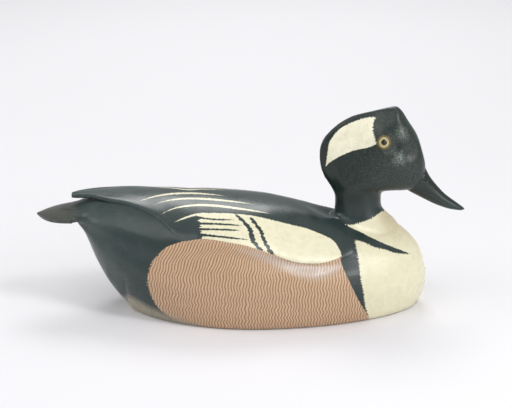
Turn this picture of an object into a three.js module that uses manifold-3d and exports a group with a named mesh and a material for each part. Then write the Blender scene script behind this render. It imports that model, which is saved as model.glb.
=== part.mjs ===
// Hooded merganser drake, a carved and painted wooden decoy.
// Millimetres. +Z is up, +X points where the bill points, the flat underside lies on z = 0.
// The body, the head with its neck and bill, and the two glass eyes are separate pieces.

import * as THREE from 'three';
import { LoftGeometry } from 'three/addons/geometries/LoftGeometry.js';
import { mergeVertices } from 'three/addons/utils/BufferGeometryUtils.js';
import Module from 'manifold-3d';

const wasm = await Module();
wasm.setup();

// Body: a hull whose ends are the rump and the breast.
const RUMP_END = -150;
const BREAST_END = 148.8;
const HULL_SLICES = 58;
const HULL_SPLITS = [1, 3, 2, 3, 2, 3, 3];

// The keel and the back, each as [x, z].
const KEEL = [[-150, 77.5], [-144, 72.5], [-140, 67], [-136, 56.8], [-130, 41.4], [-124, 29.2], [-117, 17.4],
  [-108, 5.8], [-100, 0], [139.6, 0], [146, 9], [148.8, 24]];
const BACK = [[-151, 97.1], [-146, 97.9], [-133, 98.7], [-110, 99.2], [-76, 99.2], [-44, 98.6], [-10, 96],
  [26, 91], [46, 86], [58, 80.5], [68, 76.5], [80, 75.4], [112, 75.2], [118, 73.6], [122, 70.8], [134.5, 60.4],
  [142.5, 49.7], [146.3, 39], [148.8, 24]];

// Ovals seen from above: half width, where it is widest, its two ends, and how full each end is.
// Where the keel leaves the ground the section becomes round below, fully so at this height.
const ROUND_KEEL = 22;
const ROUND_LIFT = 0.2;
const ROUND_SHARE = [0.22, 0.6];
const BASE_OVAL = { half: 66, widest: 0, ends: [-107, 141.5], power: 1.9, fullness: [0.6, 0.6] };
const FLANK_OVAL = { half: 71.8, widest: 4, ends: [-150, 148.8], power: 1.9, fullness: [0.65, 0.57] };
const FLANK_RISE = [[-150, 80], [-138, 70], [-118, 52], [-100, 42], [-60, 33], [0, 28], [90, 25], [148.8, 24]];

// The flank's upper shoulder, as [x, share of the flank's width] and [x, z].
const SHOULDER_IN = [[-150, 1], [-118, 0.98], [-60, 0.965], [50, 0.968], [90, 0.95], [148.8, 0.9]];
const SHOULDER_RISE = [[-150, 82], [-118, 68], [-90, 58], [-60, 52], [0, 46], [50, 43.5], [90, 41], [148.8, 24]];

// The hollow between the flank and the folded wing, as [x, share of the flank's width] and [x, z].
const HOLLOW_IN = [[-150, 1], [-140, 0.96], [-118, 0.9], [-90, 0.9], [-60, 0.93], [0, 0.875],
  [25, 0.86], [50, 0.853], [80, 0.85], [120, 0.84], [148.8, 0.8]];
const HOLLOW_RISE = [[-150, 83], [-140, 82], [-110, 78], [-87, 74], [-60, 66], [0, 60], [25, 56.5],
  [50, 52.4], [70, 52.6], [90, 52], [105, 48], [135, 35], [148.8, 24]];

// The lower edge of the folded wing, from its tip to the breast, as [x, y] and [x, z].
const WING_OUT = [[-151, 2.5], [-146, 6], [-133, 10.5], [-120, 17], [-99, 26], [-82.6, 35.4],
  [-73, 42.5], [-59, 54], [-41, 58], [-18, 60], [17, 61], [50, 57.4], [75, 48.5], [105, 35],
  [135, 16.5], [148.8, 0]];
const WING_RISE = [[-151, 96.4], [-140, 97.6], [-133, 98], [-120, 97], [-99, 94.6], [-82.6, 90.1],
  [-73, 85.9], [-59, 76.8], [-41, 76], [-18, 73], [17, 63.3], [50, 54.9], [66, 55.6], [85, 60],
  [105, 57], [135, 40], [148.8, 24]];

// The rounding of the back, which becomes a ridge beside the neck and runs on down the breast.
const RIDGE_OUT = [[-151, 1.2], [-133, 5.5], [-110, 11.5], [-82.6, 19.5], [-59, 29], [-20, 33], [10, 30],
  [30, 24.5], [45, 19], [57, 16.5], [69, 17.5], [85, 20.5], [100, 25], [116, 24], [132, 17], [143, 8], [148.8, 0]];
const RIDGE_RISE = [[-151, 96.7], [-133, 98.4], [-110, 98.5], [-82.6, 96.6], [-59, 93], [-20, 90.5],
  [10, 88.3], [30, 85.8], [45, 84], [57, 81.4], [69, 78.2], [85, 73.2], [100, 66.5], [116, 58.5], [132, 49.5], [143, 36],
  [148.8, 24]];

// Towards the front the carved lines die away into a breast that is round from side to side.
const BREAST_ROUNDING = [[90, 0], [112, 0.6], [132, 1], [148.8, 1]];
const BREAST_TURNS = [0.2, 0.42, 0.68, 1.08];

// The wing lies on the rump and stands proud of it by this much, most of all at its free tip.
const WING_LIFT = [[-151, 10.4], [-146, 9], [-140, 7.2], [-120, 3.4], [-99, 1.9], [-76, 1.1], [-58, 0.7], [-44, 0]];
const WING_TIP = -150.3;
const WING_ROOT = -44;
const WING_FADE = 16;
const WING_SINK = 1.1;
const WING_SLICES = 20;
const WING_SPLITS = [2, 3, 1, 3, 3];
const WING_DEPTH = 3;
const WING_UNDERCUT = 0.5;

// Tail: a thin fan that grows out of the rump.
const TAIL_TIP = -180.3;
const TAIL_ROOT = -112;
const TAIL_HALF = 22.8;
const TAIL_FAN = 28;
const TAIL_POINT = 2.6;
const TAIL_UNDER = [[-180.3, 78], [-170, 77], [-112, 76.5]];
const TAIL_EDGE = [[-180.3, 79], [-165, 79.6], [-150, 80.6], [-112, 84]];
const TAIL_CROWN = [[-180.3, 79.5], [-172, 82.1], [-163, 84.6], [-155, 86.4], [-140, 90.6], [-112, 93]];
const TAIL_SLICES = 14;
const TAIL_SPLITS = 6;
const TAIL_BLUNT = 0.4;
const TAIL_UNDERCUT = 0.95;

// Head: crest, skull and jaw are lofted along x.
const CREST_BACK = 57;
const FACE_FRONT = 145.6;
const HEAD_SLICES = 34;
const HEAD_SPLITS = [2, 2, 3, 2, 2];
const HEAD_TOP = [[57, 131], [60.6, 144.3], [65.5, 150.3], [75.3, 158.6], [85.2, 163.7], [99.9, 167.4],
  [113, 170.4], [119.6, 171.4], [123.2, 169.2], [130.7, 158.4], [138.4, 146], [143.2, 131], [145.6, 118]];
const JAW = [[57, 131], [58.4, 119], [60.7, 111.5], [66.1, 102.8], [69.6, 97], [75, 96.6],
  [96, 97.6], [108, 99.2], [124, 99.4], [134, 100.4], [141, 104.4], [144.6, 110], [145.6, 118]];
const JAW_OUT = [[57, 0], [60, 2.2], [68, 4], [76, 10.5], [84, 14.6], [98, 15.4], [112, 13.5], [126, 10.5],
  [137, 8.5], [145.6, 0]];
const JAW_SHARE = 0.22;
const CHEEK_OUT = [[57, 0], [60, 2.4], [70, 6], [82, 10.5], [95, 15.8], [110, 19], [122, 18.4],
  [133, 14.5], [141, 10], [145.6, 0]];
const CHEEK_RISE = [[57, 131], [75, 124], [100, 120], [120, 121], [140, 119], [145.6, 118]];
const TEMPLE_SHARE = 0.58;
const TEMPLE_OUT = [[57, 0], [60, 2.2], [82, 5.4], [95, 10.5], [109, 16.6], [122, 16.4], [133, 12.8],
  [141, 9], [145.6, 0]];
const RIM_SHARE = 0.88;
const RIM_OUT = [[57, 0], [60, 1.8], [82, 3], [100, 4.6], [112, 7], [124, 9], [133, 9], [141, 7], [145.6, 0]];

// Neck: flattened rings from the seat on the body up into the head, [z, back x, front x, half width].
const SEAT_GAP = 0.3;
const NECK = [[74.3, 69, 118.6, 17.6], [78.2, 69.6, 114.6, 16.8], [83, 70.3, 111.2, 16.2],
  [89, 70.5, 109.2, 15.8],
  [97, 70.3, 109.2, 15.4], [102, 71, 109, 14.2], [107, 73, 108, 11.5], [112, 76, 106, 8]];
const NECK_SIDES = 28;

// Bill: flattened rings along its drooping axis, [top x, top z, under x, under z, half width].
const BILL = [[139, 127, 124, 106, 6.5], [144.4, 121, 131.6, 99.2, 8.6], [149.6, 111.5, 139.4, 94.9, 7.6],
  [156.1, 103.2, 147.4, 90.7, 6.5], [163.5, 95.5, 156.6, 86.4, 5.8], [172.4, 88.9, 167.6, 82.9, 4.8],
  [178.6, 84.3, 176.4, 81.7, 2.6], [180.4, 82.7, 180, 82.3, 0.4]];
const BILL_SIDES = 18;

// Eyes: 9 mm glass domes, each turned towards the bill and up a little.
const EYE = { x: 109, y: 17.6, z: 145.2, radius: 4.6, dome: 2.4, depth: 2.4, turn: 0.24, tilt: 0.14 };
const SOCKET_GAP = 0.35;
const EYE_SIDES = 20;
const EYE_STEPS = 5;

// A smooth line through a few [place, value] pairs, which never overshoots them.
function line(pairs, warp = (place) => place) {
  const at = pairs.map(([place]) => warp(place));
  const value = pairs.map(([, v]) => v);
  const slope = at.slice(1).map((a, i) => (value[i + 1] - value[i]) / (a - at[i]));
  const tangent = at.map((_, i) => {
    const before = slope[Math.max(i - 1, 0)];
    const after = slope[Math.min(i, slope.length - 1)];
    return before * after > 0 ? (2 * before * after) / (before + after) : 0;
  });
  return (place) => {
    const p = THREE.MathUtils.clamp(warp(place), at[0], at.at(-1));
    const i = Math.max(0, at.findLastIndex((a, k) => a <= p && k < slope.length));
    const span = at[i + 1] - at[i];
    const t = (p - at[i]) / span;
    const rise = value[i + 1] - value[i];
    const bend = t * (1 - t) * ((1 - t) * (tangent[i] * span - rise) - t * (tangent[i + 1] * span - rise));
    return value[i] + rise * t + bend;
  };
}

// Slices crowd together towards both ends of a form, so that its ends come out round.
// The first and last slice stop this angle short of the very ends, where a form has no width.
const END_TRIM = 0.045;

function endRounding(from, to) {
  const middle = (from + to) / 2;
  const half = (to - from) / 2;
  return (x) => Math.acos(THREE.MathUtils.clamp((middle - x) / half, -1, 1));
}

function roundedPlaces(from, to, count) {
  return Array.from({ length: count + 1 }, (_, i) => {
    const angle = END_TRIM + (i / count) * (Math.PI - 2 * END_TRIM);
    return (from + to) / 2 - ((to - from) / 2) * Math.cos(angle);
  });
}

function evenPlaces(from, to, count) {
  return Array.from({ length: count + 1 }, (_, i) => from + ((to - from) * i) / count);
}

function ovalHalf({ half, widest, ends, power, fullness }, x) {
  const end = x < widest ? 0 : 1;
  const share = Math.min((x - widest) / (ends[end] - widest), 1);
  return half * (1 - share ** power) ** fullness[end];
}

// A closed ring in the plane x, through the points of its right half, from the bottom to the top.
function ringThrough(x, half, splits, floor = -Infinity) {
  const right = half.map(([y, z]) => new THREE.Vector3(x, y, z));
  const left = right.slice(1, -1).reverse().map((p) => new THREE.Vector3(x, -p.y, p.z));
  const curve = new THREE.CatmullRomCurve3([...right, ...left], true, 'centripetal');
  const stretches = splits.length;
  const ring = [];
  for (let k = 0; k < 2 * stretches; k += 1) {
    const pieces = splits[k < stretches ? k : 2 * stretches - 1 - k];
    for (let j = 0; j < pieces; j += 1) {
      const p = curve.getPoint((k + j / pieces) / (2 * stretches));
      ring.push(new THREE.Vector3(x, p.y, Math.max(p.z, floor)));
    }
  }
  return ring;
}

// Corners closer together than this are one corner.
const WELD = 1e-4;

function solidFrom(shape) {
  const geometry = new THREE.BufferGeometry().copy(shape);
  geometry.deleteAttribute('normal');
  geometry.deleteAttribute('uv');
  const merged = mergeVertices(geometry, WELD);
  return new wasm.Manifold(new wasm.Mesh({
    numProp: 3,
    vertProperties: new Float32Array(merged.attributes.position.array),
    triVerts: new Uint32Array(merged.index.array),
  }));
}

function loft(rings) {
  return solidFrom(new LoftGeometry(rings, { capStart: true, capEnd: true }));
}

function meshOf(name, solid, material) {
  const { vertProperties, triVerts } = solid.getMesh();
  const geometry = new THREE.BufferGeometry();
  geometry.setAttribute('position', new THREE.BufferAttribute(vertProperties, 3));
  geometry.setIndex(new THREE.BufferAttribute(triVerts, 1));
  geometry.computeVertexNormals();
  const mesh = new THREE.Mesh(geometry, material);
  mesh.name = name;
  return mesh;
}

function hull() {
  const rounding = endRounding(RUMP_END, BREAST_END);
  const along = (pairs) => line(pairs, rounding);
  const keel = along(KEEL);
  const flankRise = along(FLANK_RISE);
  const shoulderIn = along(SHOULDER_IN);
  const shoulderRise = along(SHOULDER_RISE);
  const hollowIn = along(HOLLOW_IN);
  const hollowRise = along(HOLLOW_RISE);
  const wing = wingLines(along);
  const roundness = line(BREAST_ROUNDING);
  const rings = roundedPlaces(RUMP_END, BREAST_END, HULL_SLICES).map((x) => {
    const flank = ovalHalf(FLANK_OVAL, x);
    const raised = Math.min(1, keel(x) / ROUND_KEEL);
    const base = Math.max(ovalHalf(BASE_OVAL, x), flank * THREE.MathUtils.lerp(...ROUND_SHARE, raised));
    const low = keel(x) + ROUND_LIFT * raised * (flankRise(x) - keel(x));
    const lift = wing.lift(x);
    const back = wing.back(x) - lift;
    const carved = [[flank * shoulderIn(x), shoulderRise(x)], [flank * hollowIn(x), hollowRise(x)],
      [Math.min(wing.out(x), flank), wing.rise(x) - lift], [wing.ridgeOut(x), wing.ridgeRise(x) - lift]];
    const side = carved.map(([y, z], k) => {
      const roundY = flank * Math.cos(BREAST_TURNS[k]);
      const roundZ = flankRise(x) + (back - flankRise(x)) * Math.sin(BREAST_TURNS[k]);
      return [THREE.MathUtils.lerp(y, roundY, roundness(x)), THREE.MathUtils.lerp(z, roundZ, roundness(x))];
    });
    return ringThrough(x, [[0, keel(x)], [base, low], [flank, flankRise(x)], ...side, [0, back]], HULL_SPLITS, 0);
  });
  return loft(rings);
}

function wingLines(along) {
  return {
    out: along(WING_OUT),
    rise: along(WING_RISE),
    ridgeOut: along(RIDGE_OUT),
    ridgeRise: along(RIDGE_RISE),
    back: along(BACK),
    lift: along(WING_LIFT),
  };
}

function wings() {
  const wing = wingLines((pairs) => line(pairs));
  const rings = evenPlaces(WING_TIP, WING_ROOT, WING_SLICES).map((x) => {
    const sink = WING_SINK * Math.max(0, 1 - (WING_ROOT - x) / WING_FADE) ** 2;
    return ringThrough(x, [[0, wing.back(x) - WING_DEPTH], [wing.ridgeOut(x), wing.ridgeRise(x) - WING_DEPTH],
      [wing.out(x) - WING_UNDERCUT, wing.rise(x) - WING_DEPTH], [wing.out(x) - sink, wing.rise(x) - sink],
      [wing.ridgeOut(x), wing.ridgeRise(x) - sink], [0, wing.back(x) - sink]], WING_SPLITS);
  });
  return loft(rings);
}

function tail() {
  const under = line(TAIL_UNDER);
  const edge = line(TAIL_EDGE);
  const crown = line(TAIL_CROWN);
  const places = [...evenPlaces(TAIL_TIP, TAIL_TIP + TAIL_FAN, TAIL_SLICES), TAIL_ROOT];
  const rings = places.map((x) => {
    const share = Math.max(0, (TAIL_TIP + TAIL_FAN - x) / TAIL_FAN);
    const half = TAIL_HALF * (1 - share ** TAIL_POINT) + TAIL_BLUNT;
    const across = evenPlaces(-1, 1, 2 * TAIL_SPLITS);
    const top = across.map((s) => new THREE.Vector3(x, -s * half, edge(x) + (crown(x) - edge(x)) * (1 - s * s)));
    const inner = TAIL_UNDERCUT * half;
    return [...top, new THREE.Vector3(x, -inner, under(x)), new THREE.Vector3(x, inner, under(x))];
  });
  return loft(rings);
}

function skull() {
  const rounding = endRounding(CREST_BACK, FACE_FRONT);
  const along = (pairs) => line(pairs, rounding);
  const top = along(HEAD_TOP);
  const jaw = along(JAW);
  const jawOut = along(JAW_OUT);
  const cheekOut = along(CHEEK_OUT);
  const cheekRise = along(CHEEK_RISE);
  const templeOut = along(TEMPLE_OUT);
  const rimOut = along(RIM_OUT);
  const rings = roundedPlaces(CREST_BACK, FACE_FRONT, HEAD_SLICES).map((x) => {
    const cheek = cheekRise(x);
    const high = top(x) - cheek;
    return ringThrough(x, [[0, jaw(x)], [jawOut(x), jaw(x) + JAW_SHARE * (cheek - jaw(x))],
      [cheekOut(x), cheek], [templeOut(x), cheek + high * TEMPLE_SHARE],
      [rimOut(x), cheek + high * RIM_SHARE], [0, top(x)]], HEAD_SPLITS);
  });
  return loft(rings);
}

// With a margin this is the seat that the neck stands in, cut a little wider and lower than the neck.
function neck(margin) {
  const rings = NECK.map(([z, back, front, half]) => {
    const middle = (back + front) / 2;
    const reach = (front - back) / 2 + margin;
    return Array.from({ length: NECK_SIDES }, (_, k) => {
      const turn = (2 * Math.PI * k) / NECK_SIDES;
      return new THREE.Vector3(middle + reach * Math.cos(turn), (half + margin) * Math.sin(turn), z - margin);
    });
  });
  return loft(rings);
}

function bill() {
  const rings = BILL.map(([topX, topZ, underX, underZ, half]) => Array.from({ length: BILL_SIDES }, (_, k) => {
    const turn = (2 * Math.PI * k) / BILL_SIDES;
    const up = (1 + Math.sin(turn)) / 2;
    return new THREE.Vector3(underX + (topX - underX) * up, half * Math.cos(turn), underZ + (topZ - underZ) * up);
  }));
  return loft(rings);
}

// The eye's own axis is +Y of the lathe; side is +1 on the left and -1 on the right.
function eyeShape(side, margin) {
  const radius = EYE.radius + margin;
  const profile = [[0, -EYE.depth - margin], [radius, -EYE.depth - margin], [radius, 0]];
  for (let step = 1; step < EYE_STEPS; step += 1) {
    const turn = (step / EYE_STEPS) * (Math.PI / 2);
    profile.push([radius * Math.cos(turn), (EYE.dome + margin) * Math.sin(turn)]);
  }
  profile.push([0, EYE.dome + margin]);
  const geometry = new THREE.LatheGeometry(profile.map(([r, h]) => new THREE.Vector2(r, h)), EYE_SIDES);
  if (side < 0) geometry.rotateX(Math.PI);
  geometry.rotateX(side * EYE.tilt);
  geometry.rotateZ(-side * EYE.turn);
  geometry.translate(EYE.x, side * EYE.y, EYE.z);
  return solidFrom(geometry);
}

const bodySolid = hull().add(wings()).add(tail()).subtract(neck(SEAT_GAP));
const headSolid = skull().add(neck(0)).add(bill())
  .subtract(eyeShape(1, SOCKET_GAP)).subtract(eyeShape(-1, SOCKET_GAP));

const painted = { metalness: 0, roughness: 0.5 };
const bodyPaint = new THREE.MeshStandardMaterial({ color: '#8d7358', ...painted });
const headPaint = new THREE.MeshStandardMaterial({ color: '#2b3431', ...painted });
const glass = new THREE.MeshStandardMaterial({ color: '#d9a52a', metalness: 0, roughness: 0.08 });

const decoy = new THREE.Group();
decoy.add(meshOf('body', bodySolid, bodyPaint));
decoy.add(meshOf('head', headSolid, headPaint));
decoy.add(meshOf('eye_left', eyeShape(1, 0), glass));
decoy.add(meshOf('eye_right', eyeShape(-1, 0), glass));

export default decoy;
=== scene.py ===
# %% [markdown]
# # A carved and painted merganser decoy
#
# A decoy is a wooden duck that a hunter floats among reeds to bring real ducks down. This one is
# a hooded merganser drake, carved from two blocks of cedar: a body with folded wings and a tail,
# and a head with a fanned crest, a neck and a slim bill. The carver sanded both, glued the head
# on, set two glass eyes in holes, and painted the plumage by hand in oil paint.
#
# This file dresses the measured solids of that decoy. It keeps their outline, gives every form a
# dense smooth skin, and paints the plumage with shader nodes. Each step explains the real thing
# first and then the way it is made here.

# %% Load the measured solids
import functools
import math

import bmesh
import bpy
import numpy as np
from mathutils import Matrix, Vector
from mathutils.bvhtree import BVHTree


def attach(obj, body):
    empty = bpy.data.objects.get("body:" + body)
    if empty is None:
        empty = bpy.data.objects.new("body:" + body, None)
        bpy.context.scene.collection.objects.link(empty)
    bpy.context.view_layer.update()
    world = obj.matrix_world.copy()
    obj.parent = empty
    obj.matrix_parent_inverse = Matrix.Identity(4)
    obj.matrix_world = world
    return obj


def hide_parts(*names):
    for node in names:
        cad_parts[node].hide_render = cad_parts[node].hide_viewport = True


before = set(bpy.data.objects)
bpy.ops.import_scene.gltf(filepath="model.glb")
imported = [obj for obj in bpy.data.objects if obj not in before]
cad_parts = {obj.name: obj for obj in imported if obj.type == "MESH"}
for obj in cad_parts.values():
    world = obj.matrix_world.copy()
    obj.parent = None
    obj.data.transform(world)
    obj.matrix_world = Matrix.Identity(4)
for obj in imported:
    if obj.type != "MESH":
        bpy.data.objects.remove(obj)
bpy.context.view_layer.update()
MM = 0.001


# %% [markdown]
# ## Lines that a carver would draw
#
# A carver starts from a few drawn lines: the top, the keel, the widest line seen from above. Here
# each line is a short list of (place along the bird, value) in millimetres, and `drawn_line`
# joins its points smoothly without ever swinging past them, as a bent wooden batten would.
# Near a round end the line runs over the angle of the end's roundness, so that it starts steeply.

# %% Drawn lines
def drawn_line(pairs, warp=lambda place: place):
    at = warp(np.array([place for place, _ in pairs], float))
    value = np.array([v for _, v in pairs], float)
    slope = np.diff(value) / np.diff(at)
    before, after = np.r_[slope[0], slope], np.r_[slope, slope[-1]]
    same_way = before * after > 0
    tangent = np.where(same_way, 2 * before * after / np.where(same_way, before + after, 1), 0)

    def value_at(place):
        p = np.clip(warp(np.asarray(place, float)), at[0], at[-1])
        i = np.clip(np.searchsorted(at, p, side="right") - 1, 0, len(slope) - 1)
        span, rise = at[i + 1] - at[i], value[i + 1] - value[i]
        t = (p - at[i]) / span
        bend = t * (1 - t) * ((1 - t) * (tangent[i] * span - rise) - t * (tangent[i + 1] * span - rise))
        return value[i] + rise * t + bend

    return value_at


END_TRIM = 0.03  # radians of an end's roundness that are left off, so that no slice shrinks to nothing


def between(start, end, share):
    return start + (end - start) * share


def end_rounding(start, end):
    return lambda x: np.arccos(np.clip(((start + end) / 2 - x) / ((end - start) / 2), -1, 1))


def rounded_places(start, end, count):
    angle = np.linspace(END_TRIM, math.pi - END_TRIM, count)
    return (start + end) / 2 - (end - start) / 2 * np.cos(angle)


# %% [markdown]
# ## From lines to a skin
#
# Every slice across the bird is a closed ring through the points where the drawn lines cross it.
# `ring_through` bends a curve through those points, and `skin` wraps a sphere over the rings: the
# sphere's poles become the two ends of the form and its circles of latitude become the slices.
# A sphere is closed and has no seam, so the form made from it is closed too.

# %% Rings and skins
def ring_through(right_half, splits):
    left_half = right_half[:, -2:0:-1] * [-1, 1]
    ring = np.concatenate([right_half, left_half], axis=1)
    count, made = ring.shape[1], []
    for k in range(count):
        a, b, c, d = (ring[:, (k + step) % count] for step in (-1, 0, 1, 2))
        steps = [np.linalg.norm(q - p, axis=1, keepdims=True) for p, q in ((a, b), (b, c), (c, d))]
        reach = [np.maximum(step, 1e-6) ** 0.5 for step in steps]
        leave = ((b - a) / reach[0] - (c - a) / (reach[0] + reach[1]) + (c - b) / reach[1]) * reach[1]
        arrive = ((c - b) / reach[1] - (d - b) / (reach[1] + reach[2]) + (d - c) / reach[2]) * reach[1]
        square, cube = 3 * (c - b) - 2 * leave - arrive, 2 * (b - c) + leave + arrive
        pieces = (splits + splits[::-1])[k]
        for w in np.arange(pieces) / pieces:
            made.append(b + leave * w + square * w**2 + cube * w**3)
    return np.stack(made, axis=1)


def rings_over(x, points, splits):
    rings = ring_through(np.stack([np.stack(point, axis=1) for point in points], axis=1), splits)
    return np.concatenate([np.repeat(x[:, None, None], rings.shape[1], axis=1), rings], axis=2)


def skin(rings):
    slices, sides = rings.shape[:2]
    form = bmesh.new()
    bmesh.ops.create_uvsphere(form, u_segments=sides, v_segments=slices + 1, radius=1)
    for vertex in form.verts:
        row = round(math.acos(max(-1.0, min(1.0, vertex.co.z))) / math.pi * (slices + 1)) - 1
        if 0 <= row < slices:
            side = round(math.atan2(vertex.co.y, vertex.co.x) / math.tau * sides) % sides
            vertex.co = Vector(rings[row, side]) * MM
        else:
            vertex.co = Vector(rings[max(0, min(row, slices - 1))].mean(axis=0)) * MM
    bmesh.ops.recalc_face_normals(form, faces=form.faces)
    return form


def as_object(name, form):
    mesh = bpy.data.meshes.new(name)
    form.to_mesh(mesh)
    made = bpy.data.objects.new(name, mesh)
    bpy.context.scene.collection.objects.link(made)
    return made


def finished(name, form, sharp):
    piece = as_object(name, form)
    form.free()
    piece.data.shade_smooth()
    piece.data.set_sharp_from_angle(angle=math.radians(sharp))
    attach(piece, "root")
    print(name, "has", sum(len(p.vertices) - 2 for p in piece.data.polygons), "triangles")
    return piece


# %% [markdown]
# ## The body
#
# The body is one carved block. Its flanks bulge, a hollow runs under each folded wing, the wings
# rise in a ridge on either side of the back, and the breast is round. All of it is in the lines
# below. The block stands on a flat underside, so no point of a ring may lie under the floor.

# %% The body's lines
RUMP_END, BREAST_END = -150.0, 148.8
KEEL = [
    (-150, 77.5), (-144, 72.5), (-140, 67), (-136, 56.8), (-130, 41.4), (-124, 29.2), (-117, 17.4),
    (-108, 5.8), (-100, 0), (139.6, 0), (146, 9), (148.8, 24)]
BACK = [
    (-151, 97.1), (-146, 97.9), (-133, 98.7), (-110, 99.2), (-76, 99.2), (-44, 98.6), (-10, 96), (26, 91),
    (46, 86), (58, 80.5), (68, 76.5), (80, 75.4), (112, 75.2), (118, 73.6), (122, 70.8), (134.5, 60.4),
    (142.5, 49.7), (146.3, 39), (148.8, 24)]
FLANK_RISE = [(-150, 80), (-138, 70), (-118, 52), (-100, 42), (-60, 33), (0, 28), (90, 25), (148.8, 24)]
SHOULDER_IN = [(-150, 1), (-118, 0.98), (-60, 0.965), (50, 0.968), (90, 0.95), (148.8, 0.9)]
SHOULDER_RISE = [(-150, 82), (-118, 68), (-90, 58), (-60, 52), (0, 46), (50, 43.5), (90, 41), (148.8, 24)]
HOLLOW_IN = [
    (-150, 1), (-140, 0.96), (-118, 0.9), (-90, 0.9), (-60, 0.93), (0, 0.875), (25, 0.86), (50, 0.853),
    (80, 0.85), (120, 0.84), (148.8, 0.8)]
HOLLOW_RISE = [
    (-150, 83), (-140, 82), (-110, 78), (-87, 74), (-60, 66), (0, 60), (25, 56.5), (50, 52.4), (70, 52.6),
    (90, 52), (105, 48), (135, 35), (148.8, 24)]
WING_OUT = [
    (-151, 2.5), (-146, 6), (-133, 10.5), (-120, 17), (-99, 26), (-82.6, 35.4), (-73, 42.5), (-59, 54),
    (-41, 58), (-18, 60), (17, 61), (50, 57.4), (75, 48.5), (105, 35), (135, 16.5), (148.8, 0)]
WING_RISE = [
    (-151, 96.4), (-140, 97.6), (-133, 98), (-120, 97), (-99, 94.6), (-82.6, 90.1), (-73, 85.9), (-59, 76.8),
    (-41, 76), (-18, 73), (17, 63.3), (50, 54.9), (66, 55.6), (85, 60), (105, 57), (135, 40), (148.8, 24)]
RIDGE_OUT = [
    (-151, 1.2), (-133, 5.5), (-110, 11.5), (-82.6, 19.5), (-59, 29), (-20, 33), (10, 30), (30, 24.5),
    (45, 19), (57, 16.5), (69, 17.5), (85, 20.5), (100, 25), (116, 24), (132, 17), (143, 8), (148.8, 0)]
RIDGE_RISE = [
    (-151, 96.7), (-133, 98.4), (-110, 98.5), (-82.6, 96.6), (-59, 93), (-20, 90.5), (10, 88.3), (30, 85.8),
    (45, 84), (57, 81.4), (69, 78.2), (85, 73.2), (100, 66.5), (116, 58.5), (132, 49.5), (143, 36),
    (148.8, 24)]
WING_LIFT = [(-151, 10.4), (-146, 9), (-140, 7.2), (-120, 3.4), (-99, 1.9), (-76, 1.1), (-58, 0.7), (-44, 0)]
BREAST_ROUNDING = [(90, 0), (112, 0.6), (132, 1), (148.8, 1)]
BREAST_TURNS = [0.2, 0.42, 0.68, 1.08]
BASE_OVAL = dict(half=66, widest=0, ends=(-107, 141.5), power=1.9, fullness=(0.6, 0.6))
FLANK_OVAL = dict(half=71.8, widest=4, ends=(-150, 148.8), power=1.9, fullness=(0.65, 0.57))
ROUND_KEEL, ROUND_LIFT, ROUND_SHARE = 22, 0.2, (0.22, 0.6)


def oval_half(x, half, widest, ends, power, fullness):
    front = x >= widest
    share = np.clip((x - widest) / (np.where(front, ends[1], ends[0]) - widest), 0, 1)
    return half * (1 - share**power) ** np.where(front, fullness[1], fullness[0])


# %% Carve the hull
HULL_LINES = [KEEL, BACK, FLANK_RISE, SHOULDER_IN, SHOULDER_RISE, HOLLOW_IN, HOLLOW_RISE, WING_OUT, WING_RISE,
              RIDGE_OUT, RIDGE_RISE, WING_LIFT]
HULL_SLICES, HULL_SPLITS = 270, [6, 22, 14, 20, 12, 20, 24]


def carve_hull():
    x = rounded_places(RUMP_END, BREAST_END, HULL_SLICES)
    rounding = end_rounding(RUMP_END, BREAST_END)
    (keel, back, flank_rise, shoulder_in, shoulder_rise, hollow_in, hollow_rise, wing_out, wing_rise,
     ridge_out, ridge_rise, lift) = (drawn_line(pairs, rounding)(x) for pairs in HULL_LINES)
    flank = oval_half(x, **FLANK_OVAL)
    raised = np.minimum(1, keel / ROUND_KEEL)
    base = np.maximum(oval_half(x, **BASE_OVAL), flank * between(*ROUND_SHARE, raised))
    low = keel + ROUND_LIFT * raised * (flank_rise - keel)
    top = back - lift
    carved = [(flank * shoulder_in, shoulder_rise), (flank * hollow_in, hollow_rise),
              (np.minimum(wing_out, flank), wing_rise - lift), (ridge_out, ridge_rise - lift)]
    roundness = drawn_line(BREAST_ROUNDING)(x)
    side = [(between(y, flank * math.cos(turn), roundness),
             between(z, flank_rise + (top - flank_rise) * math.sin(turn), roundness))
            for (y, z), turn in zip(carved, BREAST_TURNS)]
    points = [(0 * x, keel), (base, low), (flank, flank_rise), *side, (0 * x, top)]
    rings = rings_over(x, points, HULL_SPLITS)
    rings[:, :, 2] = np.maximum(rings[:, :, 2], 0)
    return skin(rings)


hull_form = carve_hull()
print("hull", len(hull_form.verts), "vertices")

# %% [markdown]
# ## The folded wings
#
# The wing tips cross over the rump as a thin raised slab with a crisp lower edge, which sinks
# into the body further forward. A carver cuts that edge with a knife and leaves it sharp.
# The slab is its own closed skin that overlaps the hull, so the edge stays as sharp as cut.

# %% Carve the wings
WING_TIP, WING_ROOT, WING_FADE, WING_SINK = -150.3, -44.0, 16, 1.1
WING_DEPTH, WING_UNDERCUT = 3, 0.5
WING_SLICES, WING_SPLITS = 120, [8, 12, 5, 18, 16]


def carve_wings():
    x = np.linspace(WING_TIP, WING_ROOT, WING_SLICES)
    out, rise, ridge_out, ridge_rise, back = (
        drawn_line(pairs)(x) for pairs in (WING_OUT, WING_RISE, RIDGE_OUT, RIDGE_RISE, BACK))
    sink = WING_SINK * np.maximum(0, 1 - (WING_ROOT - x) / WING_FADE) ** 2
    points = [(0 * x, back - WING_DEPTH), (ridge_out, ridge_rise - WING_DEPTH),
              (out - WING_UNDERCUT, rise - WING_DEPTH), (out - sink, rise - sink),
              (ridge_out, ridge_rise - sink), (0 * x, back - sink)]
    return skin(rings_over(x, points, WING_SPLITS))


wing_form = carve_wings()
print("wings", len(wing_form.verts), "vertices")

# %% [markdown]
# ## The tail
#
# The tail is a thin fan, crowned across its top and flat under it, that comes to a blunt rounded
# point. It leaves the rump under the wing tips.

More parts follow.
